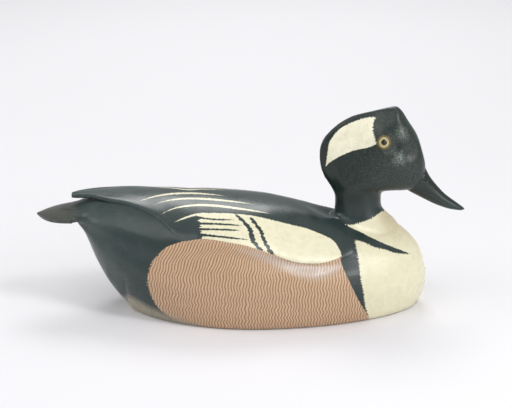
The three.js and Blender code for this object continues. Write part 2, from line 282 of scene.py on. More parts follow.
# %% Carve the tail
TAIL_TIP, TAIL_ROOT, TAIL_HALF, TAIL_FAN, TAIL_POINT = -180.3, -112.0, 22.8, 28, 2.6
TAIL_UNDER = [(-180.3, 78), (-170, 77), (-112, 76.5)]
TAIL_EDGE = [(-180.3, 79), (-165, 79.6), (-150, 80.6), (-112, 84)]
TAIL_CROWN = [(-180.3, 79.5), (-172, 82.1), (-163, 84.6), (-155, 86.4), (-140, 90.6), (-112, 93)]
TAIL_BLUNT, TAIL_UNDERCUT = 0.4, 0.95
TAIL_SLICES, TAIL_CROWDING, TAIL_ACROSS = 90, 1.8, 24


def carve_tail():
    t = np.linspace(0, 1, TAIL_SLICES)
    x = TAIL_TIP + (TAIL_ROOT - TAIL_TIP) * t**TAIL_CROWDING
    under, edge, crown = (drawn_line(pairs)(x) for pairs in (TAIL_UNDER, TAIL_EDGE, TAIL_CROWN))
    share = np.maximum(0, (TAIL_TIP + TAIL_FAN - x) / TAIL_FAN)
    half = TAIL_HALF * (1 - share**TAIL_POINT) + TAIL_BLUNT
    across = np.linspace(-1, 1, 2 * TAIL_ACROSS + 1)
    top = [np.stack([x, -s * half, edge + (crown - edge) * (1 - s * s)], axis=1) for s in across]
    low = [np.stack([x, s * TAIL_UNDERCUT * half, under], axis=1) for s in across]
    return skin(np.stack(top + low, axis=1))


tail_form = carve_tail()
print("tail", len(tail_form.verts), "vertices")

# %% [markdown]
# ## One block out of three forms
#
# The three forms are one piece of wood, so they are united with a Boolean, which leaves one closed
# skin. Where the tail leaves the rump, and where the wing sinks into the back, the real wood runs
# on without an edge. The skin is smoothed there, in a band along the seam that narrows with
# each pass, as sandpaper rounds an inside corner. The wing's lower edge stays as cut.

# %% Unite and soften
TAIL_SEAM_BANDS, TAIL_SEAM_X = [(9, 12), (6, 20), (3.5, 25)], -112
WING_SEAM_BANDS, WING_SEAM_X, WING_SEAM_Z = [(1.5, 20), (0.8, 30)], -66, 60
BODY_SHARP, HEAD_SHARP, EYE_SHARP = 40, 50, 40


def with_modifier(form, kind, *others, **settings):
    blank = as_object("blank", form)
    tools = [as_object("tool", other) for other in others]
    step = blank.modifiers.new("step", kind)
    for name, value in settings.items():
        setattr(step, name, value)
    if tools:
        step.object = tools[0]
    made = bmesh.new()
    made.from_mesh(blank.evaluated_get(bpy.context.evaluated_depsgraph_get()).to_mesh())
    for used in [blank, *tools]:
        bpy.data.meshes.remove(used.data)
    return made


def smoothed(form, verts, times):
    for _ in range(times):
        bmesh.ops.smooth_vert(form, verts=verts, factor=0.5, use_axis_x=True, use_axis_y=True,
                              use_axis_z=True)


def soften_seam(form, first, second, bands, inside):
    trees = [BVHTree.FromBMesh(side) for side in (first, second)]
    gaps = {v: max(tree.find_nearest(v.co)[3] for tree in trees) for v in form.verts if inside(v.co / MM)}
    for reach, times in bands:
        smoothed(form, [v for v, gap in gaps.items() if gap < reach * MM], times)


block = with_modifier(hull_form, "BOOLEAN", tail_form, operation="UNION", solver="EXACT")
soften_seam(block, hull_form, tail_form, TAIL_SEAM_BANDS, lambda c: c.x < TAIL_SEAM_X)
body_form = with_modifier(block, "BOOLEAN", wing_form, operation="UNION", solver="EXACT")
soften_seam(body_form, block, wing_form, WING_SEAM_BANDS, lambda c: c.x > WING_SEAM_X and c.z > WING_SEAM_Z)
body_skin = BVHTree.FromBMesh(block)
body = finished("carved_body", body_form, BODY_SHARP)
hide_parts("body")

# %% [markdown]
# ## The head
#
# The head is one block as well: a high thin crest behind, full cheeks, a neck that stands on the
# body and a slim bill that droops. The three forms run into each other without an edge, because
# the carver rasps and sands across them. Here they are three skins that a voxel remesh melts into
# one, as if clay was pressed over all three, and smoothing then rounds the corners between them.

# %% The head's lines
CREST_BACK, FACE_FRONT = 57.0, 145.6
HEAD_TOP = [
    (57, 131), (60.6, 144.3), (65.5, 150.3), (75.3, 158.6), (85.2, 163.7), (99.9, 167.4), (113, 170.4),
    (119.6, 171.4), (123.2, 169.2), (130.7, 158.4), (138.4, 146), (143.2, 131), (145.6, 118)]
JAW = [
    (57, 131), (58.4, 119), (60.7, 111.5), (66.1, 102.8), (69.6, 97), (75, 96.6), (96, 97.6), (108, 99.2),
    (124, 99.4), (134, 100.4), (141, 104.4), (144.6, 110), (145.6, 118)]
JAW_OUT = [
    (57, 0), (60, 2.2), (68, 4), (76, 10.5), (84, 14.6), (98, 15.4), (112, 13.5), (126, 10.5), (137, 8.5),
    (145.6, 0)]
CHEEK_OUT = [
    (57, 0), (60, 2.4), (70, 6), (82, 10.5), (95, 15.8), (110, 19), (122, 18.4), (133, 14.5), (141, 10),
    (145.6, 0)]
CHEEK_RISE = [(57, 131), (75, 124), (100, 120), (120, 121), (140, 119), (145.6, 118)]
TEMPLE_OUT = [
    (57, 0), (60, 2.2), (82, 5.4), (95, 10.5), (109, 16.6), (122, 16.4), (133, 12.8), (141, 9), (145.6, 0)]
RIM_OUT = [(57, 0), (60, 1.8), (82, 3), (100, 4.6), (112, 7), (124, 9), (133, 9), (141, 7), (145.6, 0)]
JAW_SHARE, TEMPLE_SHARE, RIM_SHARE = 0.22, 0.58, 0.88
# Each row of NECK is (height, back, front, half width), and of BILL (x and height of its top, x and
# height of its underside, half width).
NECK = [
    (62, 67.5, 121.5, 18.6), (74.3, 69, 118.6, 17.6), (78.2, 69.6, 114.6, 16.8), (83, 70.3, 111.2, 16.2),
    (89, 70.5, 109.2, 15.8), (97, 70.3, 109.2, 15.4), (102, 71, 109, 14.2), (107, 73, 108, 11.5),
    (112, 76, 106, 8)]
BILL = [
    (139, 127, 124, 106, 6.5), (144.4, 121, 131.6, 99.2, 8.6), (149.6, 111.5, 139.4, 94.9, 7.6),
    (156.1, 103.2, 147.4, 90.7, 6.5), (163.5, 95.5, 156.6, 86.4, 5.8), (172.4, 88.9, 167.6, 82.9, 4.8),
    (178.6, 84.3, 176.4, 81.7, 2.6), (180.4, 82.7, 180, 82.3, 0.4)]
SKULL_LINES = [HEAD_TOP, JAW, JAW_OUT, CHEEK_OUT, CHEEK_RISE, TEMPLE_OUT, RIM_OUT]
SKULL_SLICES, SKULL_SPLITS = 100, [10, 8, 12, 8, 6]


# %% Several skins in one
def joined(*forms):
    whole = bmesh.new()
    for form in forms:
        part = bpy.data.meshes.new("part")
        form.to_mesh(part)
        whole.from_mesh(part)
        bpy.data.meshes.remove(part)
    return whole


# %% Carve skull, neck and bill
def carve_skull():
    x = rounded_places(CREST_BACK, FACE_FRONT, SKULL_SLICES)
    rounding = end_rounding(CREST_BACK, FACE_FRONT)
    top, jaw, jaw_out, cheek_out, cheek, temple_out, rim_out = (
        drawn_line(pairs, rounding)(x) for pairs in SKULL_LINES)
    high = top - cheek
    points = [(0 * x, jaw), (jaw_out, jaw + JAW_SHARE * (cheek - jaw)), (cheek_out, cheek),
              (temple_out, cheek + high * TEMPLE_SHARE), (rim_out, cheek + high * RIM_SHARE), (0 * x, top)]
    return skin(rings_over(x, points, SKULL_SPLITS))


def swept(stations, place, slices, sides):
    at = np.arange(len(stations), dtype=float)
    along = np.linspace(0, at[-1], slices)
    values = [drawn_line(list(zip(at, column)))(along) for column in zip(*stations)]
    turns = np.linspace(0, math.tau, sides, endpoint=False)
    return skin(np.stack([np.stack(place(turn, *values), axis=1) for turn in turns], axis=1))


def neck_point(turn, z, back, front, half):
    return (back + front) / 2 + (front - back) / 2 * math.cos(turn), half * math.sin(turn), z


def bill_point(turn, top_x, top_z, under_x, under_z, half):
    up = (1 + math.sin(turn)) / 2
    return under_x + (top_x - under_x) * up, half * math.cos(turn), under_z + (top_z - under_z) * up


skull_form = carve_skull()
neck_form = swept(NECK, neck_point, slices=60, sides=96)
bill_form = swept(BILL, bill_point, slices=90, sides=72)
print("skull, neck and bill", [len(form.verts) for form in (skull_form, neck_form, bill_form)], "vertices")

# %% Melt the three into one head
HEAD_VOXEL, HEAD_PASSES = 0.7 * MM, 4
UNDER_JAW_X, UNDER_JAW_BANDS = (50, 124), [(86, 116, 25), (90, 110, 25), (93, 104, 20)]

clay = joined(skull_form, neck_form, bill_form)
head_form = with_modifier(clay, "REMESH", mode="VOXEL", voxel_size=HEAD_VOXEL)
smoothed(head_form, head_form.verts, HEAD_PASSES)
for low, high, times in UNDER_JAW_BANDS:
    smoothed(head_form, [v for v in head_form.verts if low * MM < v.co.z < high * MM
                         and UNDER_JAW_X[0] * MM < v.co.x < UNDER_JAW_X[1] * MM], times)
print("head", len(head_form.verts), "vertices")

# %% [markdown]
# ## Neck and body run together
#
# The carver fills the joint round the neck with putty and draws a round tool along it, so the neck
# runs out into the body in a hollow curve. The curve is a quarter of a circle: a point of the
# neck at a small height over the body is moved out along the body's surface until it lies on that
# circle. It is wider in front than behind, and halfway between at the sides. The rows of faces
# close to the body are cut finer first, because they spread the most.

# %% Spread the neck's foot
FOOT_RADIUS, FOOT_FRONT_RADIUS, FOOT_REAR_RADIUS = 7.5, 10.0, 5.0
FOOT_FINE, FOOT_SINK, FOOT_DEPTH, NECK_MIDDLE = 2.2, 0.12, 1.0, 91.0
FOOT_TOP, FOOT_FRONT = 100, 130
REAR_FOOT_FRONT, REAR_FOOT_RISE, REAR_FOOT_PASSES = 88, (0.4, 8), 10


def over_body(v):
    on_body, body_normal, _, gap = body_skin.find_nearest(v.co)
    return math.copysign(gap / MM, (v.co - on_body).dot(body_normal)), body_normal


def foot_points(front):
    return [v for v in head_form.verts if v.co.z < FOOT_TOP * MM and v.co.x < front * MM]


foot = {v: over_body(v)[0] for v in foot_points(FOOT_FRONT)}
close = [e for e in head_form.edges if all(abs(foot.get(v, 99)) < FOOT_FINE for v in e.verts)]
bmesh.ops.subdivide_edges(head_form, edges=close, cuts=2, use_grid_fill=True)
spread_points = foot_points(FOOT_FRONT)
for v in spread_points:
    above, body_normal = over_body(v)
    away = Vector((v.co.x - NECK_MIDDLE * MM, v.co.y, 0)).normalized()
    radius = between(FOOT_RADIUS, FOOT_FRONT_RADIUS if away.x > 0 else FOOT_REAR_RADIUS, away.x**2)
    left = radius - min(radius, max(0, above))
    along_body = (away - away.dot(body_normal) * body_normal).normalized()
    v.co += along_body * (radius - math.sqrt(radius**2 - left**2)) * MM
    moved_above, normal_there = over_body(v)
    v.co += normal_there * (max(above, -FOOT_DEPTH) - moved_above - FOOT_SINK * (left / radius) ** 8) * MM
low_rise, high_rise = REAR_FOOT_RISE
rear_foot = [v for v in foot_points(REAR_FOOT_FRONT) if low_rise < over_body(v)[0] < high_rise]
smoothed(head_form, rear_foot, REAR_FOOT_PASSES)
print("neck foot", len(spread_points), "points spread")

# %% [markdown]
# ## Nostrils and mouth line
#
# Small cuts bring the bill to life: a slit of a nostril on each side, the crease where the bill
# leaves the face, and the line between its halves. A carver burns or cuts them with a fine point.
# The faces along each cut are divided, and then every point near the cut sinks into the head, the
# deeper the closer it lies. The cuts are drawn as (x, z) in millimetres, once for both sides.

# %% Cut nostrils, crease and mouth
# Each cut is (its path, its half width, its depth): the nostril, the crease and the mouth line.
FINE_CUTS = [([(142.7, 110.5), (146.6, 109.1)], 0.95, 0.75),
             ([(147.2, 120.0), (144.9, 115.8), (141.8, 111.0), (139.4, 107.4), (136.6, 104.6)], 0.9, 0.3),
             ([(133.0, 105.4), (141.0, 101.8), (150.0, 97.2), (163.4, 89.1), (172.0, 85.2)], 0.75, 0.35)]
CUT_MARGIN, CUT_POINT, OFF_MIDDLE = 0.6, 1.5, 2.0


def off_cut(v, path):
    spot = Vector((v.co.x, v.co.z)) / MM
    steps = [(Vector(a), Vector(b)) for a, b in zip(path, path[1:])]
    shares = [max(0, min(1, (spot - a).dot(b - a) / (b - a).length_squared)) for a, b in steps]
    return min((spot - a - (b - a) * t).length for (a, b), t in zip(steps, shares))


def beside(path, reach):
    (low_x, high_x), (low_z, high_z) = [(min(values) - reach, max(values) + reach) for values in zip(*path)]
    near = [v for v in head_form.verts if low_x < v.co.x / MM < high_x and low_z < v.co.z / MM < high_z
            and abs(v.co.y) > OFF_MIDDLE * MM]
    return {v: off for v in near if (off := off_cut(v, path)) < reach}


for path, half_width, depth in FINE_CUTS:
    near = beside(path, half_width + CUT_MARGIN)
    finer = [e for e in head_form.edges if e.verts[0] in near and e.verts[1] in near]
    bmesh.ops.subdivide_edges(head_form, edges=finer, cuts=2, use_grid_fill=True)
    head_form.normal_update()
    cut = beside(path, half_width)
    for v, off in cut.items():
        v.co -= v.normal * depth * (1 - off / half_width) ** CUT_POINT * MM
    print("cut", len(cut), "points deep")

# %% [markdown]
# ## Seats for the eyes
#
# A carver presses a shallow dish into each cheek, bores a hole in it as wide as the glass eye, and
# closes the eye in with a thin ring of putty, the eyelid. The dish is made by moving the skin
# towards the plane of the eye's rim, less and less with the distance from the eye. The hole is
# cut with a Boolean, which keeps its rim round, and the eyelid is a small ring spun round the
# eye's axis.

# %% Press the dishes
EYE_X, EYE_Y, EYE_Z = 109.0, 17.6, 145.2
EYE_RADIUS, EYE_DOME, EYE_DEPTH, EYE_TURN, EYE_TILT = 4.6, 2.4, 2.4, 0.24, 0.14
DISH_FLAT, DISH_REACH, DISH_NEAR, DISH_DEPTH = 5.6, 17.0, 20.4, 0.1


def eye_facing(side):
    level = math.cos(EYE_TILT)
    return Vector((math.sin(EYE_TURN) * level, side * math.cos(EYE_TURN) * level, math.sin(EYE_TILT)))


def eye_place(side):
    return Vector((EYE_X, side * EYE_Y, EYE_Z)) * MM


def eased(share):
    share = min(1, max(0, share))
    return share**2 * (3 - 2 * share)


pressed = 0
for side in (1, -1):
    for v in head_form.verts:
        away = v.co - eye_place(side)
        proud = away.dot(eye_facing(side))
        reach = (away - proud * eye_facing(side)).length / MM
        if reach < DISH_REACH and away.length < DISH_NEAR * MM:
            share = eased((DISH_REACH - reach) / (DISH_REACH - DISH_FLAT))
            v.co += eye_facing(side) * min(0, -DISH_DEPTH * MM - proud) * share
            pressed += 1
print("dishes pressed over", pressed, "points")

# %% [markdown]
# ## Hollow lores
#
# Between the eye and the bill a duck's face is hollow, and the cheek under it and the brow over it
# stand out. The carver scoops this with a round gouge. The skin is pushed in along its normals,
# deepest on a line that runs from in front of the eye down towards the bill, and fading out
# evenly on both sides, so that no edge shows. The dish round the eye is left as it is.

# %% Hollow the lores
LORES, LORES_WIDTH, LORES_DEPTH = [(113.0, 144.0), (121.0, 141.0), (129.0, 135.5)], 11.0, 2.2
LORES_CLEAR, LORES_EASE = 6.2, 6.0
SIDE_FACING, SIDE_EASE = 0.25, 0.4

head_form.normal_update()
hollow = beside(LORES, LORES_WIDTH)
for v, off in hollow.items():
    from_eye = math.hypot(v.co.x / MM - EYE_X, v.co.z / MM - EYE_Z)
    sideways = min(1, max(0, (abs(v.normal.y) - SIDE_FACING) / SIDE_EASE))
    share = math.cos(math.pi / 2 * off / LORES_WIDTH) ** 2 * eased((from_eye - LORES_CLEAR) / LORES_EASE)
    v.co -= v.normal * LORES_DEPTH * MM * share * sideways
print("lores hollowed over", len(hollow), "points")


# %% Turned forms, and where they sit in the head
TURN_STEPS, MERGE_GAP = 72, 0.01


def turned(profile):
    form = bmesh.new()
    rim = [form.verts.new((r * MM, 0, h * MM)) for r, h in profile]
    edges = [form.edges.new(pair) for pair in zip(rim, rim[1:])]
    bmesh.ops.spin(form, geom=rim + edges, cent=(0, 0, 0), axis=(0, 0, 1), angle=math.tau, steps=TURN_STEPS,
                   use_merge=True)
    bmesh.ops.remove_doubles(form, verts=form.verts, dist=MERGE_GAP * MM)
    bmesh.ops.recalc_face_normals(form, faces=form.faces)
    return form


def set_in_head(form, side):
    turn = eye_facing(side).to_track_quat("Z", "Y").to_matrix().to_4x4()
    bmesh.ops.transform(form, matrix=Matrix.Translation(eye_place(side)) @ turn, verts=form.verts)
    return form


# %% Bore the holes and lay the eyelids
HOLE_RADIUS, HOLE_DEPTH, HOLE_TOP = EYE_RADIUS + 0.05, 3.2, 3
HOLE_PROFILE = [(0, -HOLE_DEPTH), (HOLE_RADIUS, -HOLE_DEPTH), (HOLE_RADIUS, HOLE_TOP), (0, HOLE_TOP)]
LID_REACH, LID_THICK, LID_PROUD, LID_STEPS = 5.0, 0.62, 0.42, 12

bits = joined(*[set_in_head(turned(HOLE_PROFILE), side) for side in (1, -1)])
head_form = with_modifier(head_form, "BOOLEAN", bits, operation="DIFFERENCE", solver="EXACT")
LID_PROFILE = [(LID_REACH + LID_THICK * math.cos(turn), LID_PROUD * math.sin(turn))
               for turn in np.linspace(0, math.tau, LID_STEPS + 1)]
lids = [set_in_head(turned(LID_PROFILE), side) for side in (1, -1)]
head = finished("carved_head", joined(head_form, *lids), HEAD_SHARP)
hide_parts("head")

# %% [markdown]
# ## The glass eyes
#
# A glass eye is a clear dome of glass whose flat back is painted: a dark pupil and a yellow iris.
# The carver presses it into a hole filled with putty. The painted back and the clear dome are two
# closed pieces, both turned on a lathe, which here is one profile spun round the eye's own axis.

# %% Turn the eyes
PAINT_BACK, GLASS_BACK, GLASS_BEVEL, ENAMEL_EDGE = 0.5, 0.7, 0.2, 0.6
DOME = [(EYE_RADIUS * math.cos(turn), EYE_DOME * math.sin(turn)) for turn in np.linspace(0, math.pi / 2, 16)]
GLASS_PROFILE = [(0, -GLASS_BACK), (EYE_RADIUS - GLASS_BEVEL, -GLASS_BACK), *DOME[:-1], (0, EYE_DOME)]
IRIS_PROFILE = [(0, -EYE_DEPTH), (EYE_RADIUS, -EYE_DEPTH), (EYE_RADIUS, -ENAMEL_EDGE),
                *[(r, -PAINT_BACK) for r in (4.45, *np.linspace(4.2, 0.35, 12), 0)]]
eyes = {}
for side, hand in ((1, "left"), (-1, "right")):
    iris_form = turned(IRIS_PROFILE)
    reach_layer = iris_form.verts.layers.float.new("reach_mm")
    for v in iris_form.verts:
        v[reach_layer] = math.hypot(v.co.x, v.co.y) / MM
    iris = finished(f"painted_iris_{hand}", set_in_head(iris_form, side), EYE_SHARP)
    dome = finished(f"glass_eye_{hand}", set_in_head(turned(GLASS_PROFILE), side), EYE_SHARP)
    for piece in (iris, dome):
        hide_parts(f"eye_{hand}")
    eyes[hand] = (iris, dome)

# %% [markdown]
# ## Colours and nodes
#
# Painters' colours are written as the sRGB hex values that a screen shows. Light is added up in
# linear values, so one function turns them. A second small function adds a shader node, sets
# what is given for it and links the sockets that are given. Every material is made with it.

# %% Colour and node helpers
def linear(hex_colour):
    parts = [int(hex_colour[i:i + 2], 16) / 255 for i in (1, 3, 5)]
    return (*[c / 12.92 if c <= 0.04045 else ((c + 0.055) / 1.055) ** 2.4 for c in parts], 1.0)


def add_node(tree, kind, *inputs, points=None, sockets=None, **settings):
    node = tree.nodes.new("ShaderNode" + kind)
    for name, value in settings.items():
        setattr(node, name, value)
    if points:
        node.mapping.use_clip = False
        curve = node.mapping.curves[0]
        curve.points[0].location, curve.points[1].location = points[0], points[-1]
        for point in points[1:-1]:
            curve.points.new(*point)
        node.mapping.update()
    in_order = [socket for socket in node.inputs
                if socket.enabled and not (points and socket.name == "Factor")]
    by_name = [(node.inputs[name], value) for name, value in (sockets or {}).items()]
    for socket, value in [*zip(in_order, inputs), *by_name]:
        if isinstance(value, bpy.types.NodeSocket):
            tree.links.new(value, socket)
        elif value is not None:
            socket.default_value = value
    return next(socket for socket in node.outputs if socket.enabled)


SOFT = dict(interpolation_type="SMOOTHSTEP")


def new_material(name):
    material = bpy.data.materials.new(name)
    material.use_nodes = True
    tree = material.node_tree
    tree.nodes.clear()
    output = tree.nodes.new("ShaderNodeOutputMaterial")
    shader = tree.nodes.new("ShaderNodeBsdfPrincipled")
    tree.links.new(shader.outputs[0], output.inputs[0])
    return material, tree, shader


def give(piece, material):
    piece.data.materials.append(material)
    print(piece.name, "wears", material.name, "of", len(material.node_tree.nodes), "nodes")


# %% [markdown]
# ## The painter's chart
#
# The plumage is painted over the carving and not cut into it, and its edges run at a slant over
# the curved sides. To place them, the bird is laid on a flat chart. Its one direction is the
# place along the bird, x. The other is the height, less a share of the distance from the middle
# plane. The share is the slope at which the bird was measured, so an edge drawn on the chart lies
# on the same line of the carving. Both sides of the bird use the same chart, mirrored.

# %% The chart as nodes
CHART_SLOPE, WANDER_SEED = 0.3058, 7.3


def chart_of(tree):
    place = tree.nodes.new("ShaderNodeTexCoord").outputs["Object"]
    millimetres = add_node(tree, "VectorMath", place, (1000, 1000, 1000), operation="MULTIPLY")
    x, y, z = add_node(tree, "SeparateXYZ", millimetres).node.outputs
    out = add_node(tree, "Math", y, operation="ABSOLUTE")
    drop = add_node(tree, "Math", out, CHART_SLOPE, operation="MULTIPLY")
    height = add_node(tree, "Math", z, drop, operation="SUBTRACT")
    return dict(place=millimetres, x=x, y=out, z=z, h=height)


def painted_side(tree, along, across, edge, keep="above", teeth=0.5, pitch=2.0, blur=0.35, seed=0.0):
    """1 where `across` lies above the painted edge, a curve over `along`, and 0 under it, or the
    other way round. The edge is ragged by `teeth` mm at every `pitch` mm, as a brush with a few
    stiff hairs leaves it."""
    line_at = add_node(tree, "FloatCurve", along, points=edge)
    spot = add_node(tree, "Math", along, 1 / pitch, seed, operation="MULTIPLY_ADD")
    hairs = add_node(tree, "TexNoise", spot, 1.0, 2.0, noise_dimensions="1D")
    ragged = add_node(tree, "Math", hairs, 4 * teeth, -2 * teeth, operation="MULTIPLY_ADD")
    above = add_node(tree, "Math", across, line_at, operation="SUBTRACT")
    above = add_node(tree, "Math", above, ragged, operation="ADD")
    low, high = (0.0, 1.0) if keep == "above" else (1.0, 0.0)
    return add_node(tree, "MapRange", above, -blur, blur, low, high, **SOFT)


def inside(tree, *bounds):
    """The share of paint inside all the bounds at once."""
    return functools.reduce(lambda a, b: add_node(tree, "Math", a, b, operation="MULTIPLY"), bounds)


def any_of(tree, *areas):
    """The share of paint in at least one of the areas."""
    return functools.reduce(lambda a, b: add_node(tree, "Math", a, b, operation="MAXIMUM"), areas)


def within(tree, chart, sides):
    """The share of paint inside some painted sides, each (along x or h, which side is kept, its
    edge, its teeth, their pitch, its seed)."""
    across = dict(x="h", h="x")
    return inside(tree, *[
        painted_side(tree, chart[along], chart[across[along]], edge, keep, teeth, pitch, seed=seed)
        for along, keep, edge, teeth, pitch, seed in sides])


def brushed_stroke(tree, along, across, middle, half_width, keep="above", teeth=0.3, pitch=2.5,
                   blur=0.3, seed=0.0):
    """1 in a stroke of a brush along the curve `middle`, as wide as twice the curve `half_width`.
    The stroke wanders by half its teeth, so that its two edges differ."""
    line_at = add_node(tree, "FloatCurve", along, points=middle)
    spot = add_node(tree, "Math", along, 1 / pitch, seed + WANDER_SEED, operation="MULTIPLY_ADD")
    wander = add_node(tree, "TexNoise", spot, 1.0, 2.0, noise_dimensions="1D")
    line_at = add_node(tree, "Math", wander, 3 * teeth, line_at, operation="MULTIPLY_ADD")
    off = add_node(tree, "Math", across, line_at, operation="SUBTRACT")
    off = add_node(tree, "Math", off, 1.5 * teeth, operation="ADD")
    off = add_node(tree, "Math", off, operation="ABSOLUTE")
    off = add_node(tree, "Math", off, -1.0, operation="MULTIPLY")
    return painted_side(tree, along, off, [(p, -w) for p, w in half_width], keep, teeth, pitch, blur, seed)


def coats(tree, ground, *layers):
    """Coats of paint, each a (mask, colour) laid over what is under it."""
    for mask, colour in layers:
        colour = linear(colour) if isinstance(colour, str) else colour
        ground = add_node(tree, "Mix", mask, ground, colour, data_type="RGBA")
    return ground


# %% [markdown]
# ## Paint on the body
#
# The painter laid slate-black oil paint over the whole back and rump, then cream for the breast
# and the wing panel, then a tan flank combed with fine dark waves while it was wet. Each area
# below is bounded by the lines of its edge on the chart. A pale band along the top of the flank
# is a painted sheen, a highlight laid into the tan because the lamps here give too little of it.

# %% Where the body's colours meet
FLANK_LEFT = [
    (-13.9, -60.8), (-9.6, -67.6), (-3.8, -74.7), (0.3, -77.9), (5.3, -80.5), (10.9, -82.5), (16.7, -84.0),
    (22.6, -84.3), (29.5, -83.0), (35.3, -81.3), (39.6, -79.1), (43.3, -75.7), (47.3, -72.3), (50.8, -67.9),
    (53.0, -62.8), (55.1, -56.5)]
FLANK_TOP = [
    (-72.3, 47.3), (-67.9, 50.8), (-62.8, 53.0), (-56.5, 55.1), (-48.9, 56.2), (-39.2, 57.6), (-32.7, 57.1),
    (-16.6, 54.3), (-3.7, 51.7), (6.5, 48.4), (17.5, 44.7), (28.0, 40.4), (37.2, 37.5), (46.7, 36.6),
    (56.0, 36.5), (65.6, 38.9), (73.1, 42.0)]
BAND_LEFT = [(-11.3, 97.7), (3.2, 89.0), (13.5, 83.7), (22.7, 79.5), (34.9, 74.4), (42.0, 73.1)]
BAND_RIGHT = [
    (-11.3, 97.7), (-1.4, 94.2), (11.9, 92.1), (22.5, 89.8), (36.1, 88.3), (47.5, 86.8), (55.9, 85.5),
    (59.3, 84.9)]
SPUR_TOP = [
    (78.3, 68.9), (83.8, 67.2), (90.6, 62.9), (101.5, 57.1), (112.5, 51.9), (123.4, 47.5), (132.6, 43.8)]
COLLAR_REAR = [(40, 78), (100, 78)]
SPUR_BOTTOM = [
    (85.5, 55.9), (91.4, 54.7), (98.3, 51.5), (103.0, 49.5), (110.9, 47.7), (119.5, 44.7), (132.6, 43.6)]
PANEL_TOP = [
    (-43.9, 78.9), (-26.5, 79.2), (-12.8, 78.6), (-1.4, 77.4), (7.6, 75.7), (15.8, 73.7), (24.9, 71.4),
    (34.7, 68.8), (44.4, 66.5), (52.1, 63.9), (60.0, 60.2), (67.6, 55.7), (71.7, 49.8)]
PANEL_RIGHT = [(41.4, 73.1), (42.8, 73.7), (49.8, 71.7), (55.7, 67.6), (60.2, 60.0)]
PANEL_LEFT = [(57.9, -39.2), (65.7, -40.7), (73.2, -42.0), (79.2, -43.9)]
BELLY = [
    (-140.0, -6.0), (-114.0, 3.5), (-99.8, 5.6), (-96.3, 4.2), (-91.9, 1.8), (-85.0, -2.0), (-77.6, -5.1),
    (-69.8, -8.4), (-60.9, -11.4), (-47.3, -15.5), (-39.9, -18.0)]
# Each stroke is (its middle, its half width), or on the back (its middle, its greatest half width).
# The next two lines are the painted sheen along the top of the flank: its middle line and its half width.
PAINTED_SHEEN_RIDGE = [(-14, 50), (2, 45), (14, 41), (26, 36), (38, 32), (50, 29.5), (62, 30), (73, 34)]
PAINTED_SHEEN_HALF = [(-16, -2), (4, 1.8), (30, 4.6), (52, 5.6), (70, 2.5)]
FEATHER_LINES = [
    ([(-41.0, 75.2), (-28.2, 73.8), (-15.5, 73.5), (-12.8, 73.2)],
     [(-45, 1.3), (-36, 0.75), (-20, 0.55), (-11, -0.3)]),
    ([(-42.2, 70.5), (-24.9, 69.9), (-7.0, 68.7)], [(-45, 1.3), (-34, 0.85), (-14, 0.6), (-5, -0.3)]),
    ([(-40.7, 65.7), (-24.8, 65.4), (-8.9, 64.6)], [(-45, 1.2), (-32, 0.75), (-14, 0.6), (-7, -0.3)]),
    ([(-39.2, 61.0), (-20.7, 59.0), (-1.1, 56.7)], [(-45, 1.3), (-30, 0.9), (-10, 0.6), (1, -0.3)])]
WING_BARS = [
    ([(49.2, 7.3), (57.0, 1.4), (63.7, 0.0), (69.6, -3.8), (76.3, -10.4)],
     [(47, 1.1), (54, 1.9), (70, 1.8), (76, 1.5), (79, 1.1)]),
    ([(44.1, 17.5), (50.3, 13.8), (56.9, 10.5), (62.7, 8.7), (69.0, 4.6), (75.2, 0.0)],
     [(43.5, 2.8), (46, 1.9), (50, 1.6), (70, 1.5), (75, 1.2), (77, -0.3)])]
BACK_STROKES = [
    ([(-94.3, 88.6), (-83.5, 92.6), (-71.4, 95.3), (-55.2, 96.5), (-38.2, 95.9), (-22.1, 94.1)], 0.7),
    ([(-80.9, 86.0), (-70.8, 89.5), (-58.6, 91.5), (-46.2, 91.8), (-21.3, 90.0), (3.5, 86.6)], 0.8),
    ([(-73.0, 78.3), (-64.6, 82.6), (-51.6, 85.4), (-36.3, 86.0), (-8.8, 82.9), (17.0, 78.5)], 0.95),
    ([(-61.6, 71.8), (-52.8, 75.5), (-43.1, 78.3), (-34.9, 79.2)], 0.8)]


def tapered(stroke, width):
    start, end = stroke[0][0], stroke[-1][0]
    return [(start - 1, -0.1), (between(start, end, 0.15), 0.6 * width), (between(start, end, 0.4), width),
            (between(start, end, 0.75), 0.8 * width), (end + 1, -0.1)]


# %% The body's areas as nodes
FLANK_SIDES = [("h", "above", FLANK_LEFT, 0.9, 1.3, 0), ("x", "below", FLANK_TOP, 0.3, 2, 7),
               ("h", "below", BAND_LEFT, 0.2, 2, 13)]
PANEL_SIDES = [("x", "above", FLANK_TOP, 0.3, 2, 7), ("x", "below", PANEL_TOP, 0.35, 1.6, 3),
               ("h", "above", PANEL_LEFT, 1.6, 1.5, 21), ("h", "below", PANEL_RIGHT, 0.2, 2, 5)]
BAR_SEED, STROKE_SEED = 20, 40
BREAST_SIDES = [("h", "above", BAND_RIGHT, 0.95, 1.0, 31), ("x", "below", SPUR_BOTTOM, 0.8, 1.1, 2)]
COLLAR_SIDES = [("x", "above", SPUR_TOP, 0.3, 2, 9), ("h", "above", COLLAR_REAR, 0.2, 2, 6)]


def cream_panel(tree, chart):
    x, h = chart["x"], chart["h"]
    lines = [brushed_stroke(tree, x, h, middle, half_width, "below", 0.3, 2.4, seed=k)
             for k, (middle, half_width) in enumerate(FEATHER_LINES)]
    bars = [brushed_stroke(tree, h, x, middle, half_width, "below", 0.75, 2.2, seed=k + BAR_SEED)
            for k, (middle, half_width) in enumerate(WING_BARS)]
    return inside(tree, within(tree, chart, PANEL_SIDES), *lines, *bars)


def cream_strokes(tree, chart):
    return any_of(tree, *[
        brushed_stroke(tree, chart["x"], chart["h"], middle, tapered(middle, width), teeth=0.12,
                       blur=0.25, seed=k + STROKE_SEED)
        for k, (middle, width) in enumerate(BACK_STROKES)])


